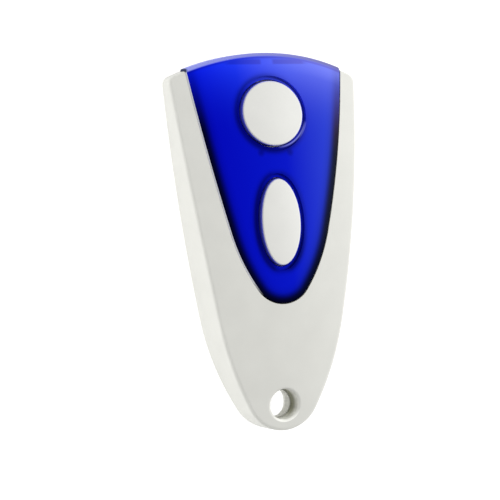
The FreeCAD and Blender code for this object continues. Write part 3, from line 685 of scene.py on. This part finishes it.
# Chip parts
# Small soldered blocks: tan ceramic capacitors, resistors with a black glass top on white ceramic, and dark
# ferrite inductors. All have tinned ends, with the soft uneven shine of solder.
capacitor_tan = (0.47, 0.33, 0.19)
ceramic_white = (0.72, 0.72, 0.68)
ferrite = (0.045, 0.050, 0.055)
glass_black = (0.015, 0.015, 0.017)
glass_unevenness = 0.20
resistor_patch = 0.0003

capacitors = moulded("capacitor_ceramic", capacitor_tan, roughness=0.50, grain=0.00006, depth=0.000005,
                     strength=0.10)
dress(capacitors, "chip_capacitors")
inductors = moulded("inductor_ferrite", ferrite, roughness=0.58, grain=0.00008, depth=0.000008, strength=0.15)
dress(inductors, "chip_inductors")
resistors = moulded("resistor_ceramic", ceramic_white, roughness=0.40, grain=0.00006, depth=0.000004,
                    strength=0.06, patch=resistor_patch)
tree = resistors.node_tree
glass = mottled(tree, object_spot(tree), glass_black, glass_unevenness, resistor_patch)
recolour(tree, tinted(tree, on_edge(tree), glass, colour_so_far(tree)))
dress(resistors, "chip_resistors")
tinned_ends = metal("tinned_ends", solder_grey, roughness=0.32, pitch=0.00025, depth=0.00001, line=0.00025,
                    strength=0.10)
dress(tinned_ends, "chip_ends")

# Battery contacts
# A round nickel-plated pad on the board under the cell, and a spring strap of rolled steel over it.
# The strap's two feet are soldered to the board. The rolling left fine lines along it.
nickel = (0.66, 0.63, 0.57)
cell_middle = (0.0, -0.009425, 0.0)

pad = metal("contact_nickel", nickel, roughness=0.26, pitch=0.00012, depth=0.000002, middle=cell_middle)
dress(pad, "battery_contact")
strap = metal("clip_steel", spring_grey, roughness=0.28, pitch=0.00006, depth=0.0000015)
dress(strap, "battery_clip")

# Coin cell
# A can and a cap of nickel-plated steel, turned bright, crimped over a dark moulded gasket.
# Inside: a disc of lithium, a felt separator soaked with electrolyte, and a pressed black cathode.
plated_steel = (0.64, 0.64, 0.63)
gasket_grey = (0.035, 0.037, 0.042)
lithium_grey = (0.55, 0.55, 0.57)
felt_white = (0.72, 0.71, 0.66)
felt_fuzz = 0.3
cathode_black = (0.030, 0.030, 0.032)

turned_steel = metal("cell_steel", plated_steel, roughness=0.22, pitch=0.00007, depth=0.000002,
                     middle=cell_middle)
dress(turned_steel, "coin_cell_can", "coin_cell_cap")
gasket = moulded("cell_gasket", gasket_grey, roughness=0.45, grain=0.00008, depth=0.000004, strength=0.08)
dress(gasket, "coin_cell_gasket")
lithium = metal("lithium_disc", lithium_grey, roughness=0.50, pitch=0.00020, depth=0.00001, strength=0.12)
dress(lithium, "cell_anode")
powder = moulded("cathode_powder", cathode_black, roughness=0.80, grain=0.00010, depth=0.00003, strength=0.30)
dress(powder, "cell_cathode")
felt = moulded("separator_felt", felt_white, roughness=0.90, grain=0.00012, depth=0.00004, strength=0.06)
felt.node_tree.nodes["Principled BSDF"].inputs["Sheen Weight"].default_value = felt_fuzz
dress(felt, "cell_separator")

# Rear cover
# The plate that closes the back, with its board supports and the rear half of the keyring tube.
# The same white ABS from the same kind of mould, with a shade coarser and deeper skin. One screw holds it.
back_roughness = 0.48
back_grain = 1.3 * skin_grain
back_depth = 1.4 * skin_depth

dress(moulded("cover_white", white, back_roughness, back_grain, back_depth), "rear_cover")

# Housing screw
# One pan-head steel screw, zinc plated, driven from the back into the front shell's post.
# Its cross slot is punched, and its head keeps faint rings from turning.
screw_middle = (0.0, -0.023025, 0.0)
zinc = (0.62, 0.63, 0.66)

zinc_plate = metal("zinc_plate", zinc, roughness=0.30, pitch=0.00008, depth=0.000002, middle=screw_middle)
dress(zinc_plate, "housing_screw")

# Studio
# A plain white floor and two soft boxes, with the camera where the photograph's stood.
# The remote lies on its flat back. The broad box stands to the right, past the remote's wide end.
camera_at = (-0.18392, 0.014365, 0.42219)
camera_turn = (-0.0380, -0.4068, -0.0418)
camera_lens = 177.42
camera_film = 36.0
nearest_seen = 0.01
floor_size = 6.0
floor_grey = (0.50, 0.50, 0.50)
floor_roughness = 0.5
floor_grain = 0.002
floor_brightness = 0.72
sky_light = 0.515

camera_data = bpy.data.cameras.new("camera")
camera_data.lens = camera_lens
camera_data.sensor_width = camera_film
camera_data.clip_start = nearest_seen
camera = bpy.data.objects.new("camera", camera_data)
camera.rotation_mode = "ZYX"
camera.location = camera_at
camera.rotation_euler = camera_turn
bpy.context.scene.collection.objects.link(camera)
bpy.context.scene.camera = camera

bpy.ops.mesh.primitive_plane_add(size=floor_size, location=(0, 0, 0))
floor = bpy.context.object
floor.name = "floor"
floor_paint = moulded("floor_paint", floor_grey, floor_roughness, floor_grain, depth=0.0, strength=0.0)
floor_glow = {"Emission Color": (1.0, 1.0, 1.0, 1.0), "Emission Strength": floor_brightness}
feed(floor_paint.node_tree, floor_paint.node_tree.nodes["Principled BSDF"], floor_glow)
floor.data.materials.append(floor_paint)

world = bpy.data.worlds.new("world")
world.use_nodes = True
world.node_tree.nodes["Background"].inputs["Color"].default_value = (1, 1, 1, 1)
world.node_tree.nodes["Background"].inputs["Strength"].default_value = sky_light
bpy.context.scene.world = world
bpy.context.scene.view_settings.view_transform = "Standard"


def soft_box(name, way, distance, size, brightness, on=()):
    """A soft box that faces the remote, as bright as it makes a white card. With on, it lights only those."""
    data = bpy.data.lights.new(name, "AREA")
    data.shape = "RECTANGLE"
    data.size = size[0]
    data.size_y = size[1]
    data.energy = brightness * math.pi ** 2 * distance ** 2
    way = Vector(way).normalized()
    lamp = bpy.data.objects.new(name, data)
    lamp.location = way * distance
    lamp.rotation_mode = "QUATERNION"
    lamp.rotation_quaternion = (-way).to_track_quat("-Z", "Y")
    bpy.context.scene.collection.objects.link(lamp)
    if on:
        lit_pieces = bpy.data.collections.new(name + "_lights")
        for piece in on:
            lit_pieces.objects.link(piece)
        lamp.light_linking.receiver_collection = lit_pieces


soft_box("right_box", way=(0.78, 0.24, 0.58), distance=1.2, size=(0.75, 0.75), brightness=0.80)
soft_box("left_box", way=(-0.98, 0.05, 0.09), distance=0.8, size=(0.9, 0.15), brightness=0.44,
         on=(nodes["front_shell"], nodes["rear_cover"], floor))
